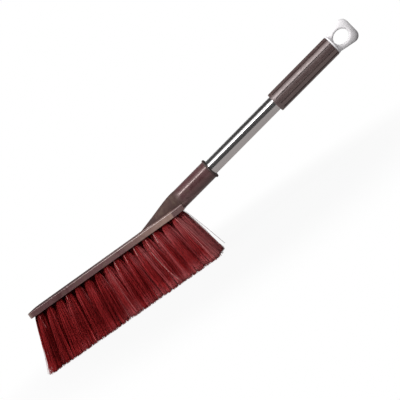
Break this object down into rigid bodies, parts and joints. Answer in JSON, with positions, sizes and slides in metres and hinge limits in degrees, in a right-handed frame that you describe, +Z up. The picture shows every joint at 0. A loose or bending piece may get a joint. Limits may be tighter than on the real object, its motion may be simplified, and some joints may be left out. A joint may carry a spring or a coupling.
{
  "type": "long-handled bristle hand brush",
  "caption": "Hand brush with a long flared bristle head, a bent plastic neck, a steel tube handle, a fluted grip and a hanging cap that turns.",
  "frame": {"origin": "on the floor under the middle of the whole brush, at the level of the bristle tips", "axes": "+X from the bristle head towards the hanging cap, +Y across the brush, +Z up with the block level and the bristles down"},
  "size_m": [0.6174, 0.07, 0.1652],
  "materials": {
    "brown_plastic": "glossy dark brown moulding with a faint marbling",
    "red_bristle": "fine polymer filament, slightly shiny",
    "staple_wire": "flat drawn wire",
    "polished_steel": "polished steel tube",
    "inner_plastic": "plain natural moulding",
    "white_plastic": "smooth white moulding"
  },
  "bodies": {
    "brush": {"brush_block": "brown_plastic", "bristle_row_1": "red_bristle", "bristle_row_2": "red_bristle", "bristle_row_3": "red_bristle", "bristle_row_4": "red_bristle", "bristle_row_5": "red_bristle", "tuft_staples": "staple_wire", "handle_tube": "polished_steel", "tube_foot_plug": "inner_plastic", "grip_sleeve": "brown_plastic", "swivel_bush": "inner_plastic"},
    "cap": {"hang_cap": "white_plastic"}
  },
  "joints": [
    {"name": "hang_cap_swivel", "type": "hinge", "parent": "brush", "child": "cap", "pos_m": [0.27162, 0, 0.14259], "axis": [0.9863, 0, 0.165], "continuous": true}
  ]
}
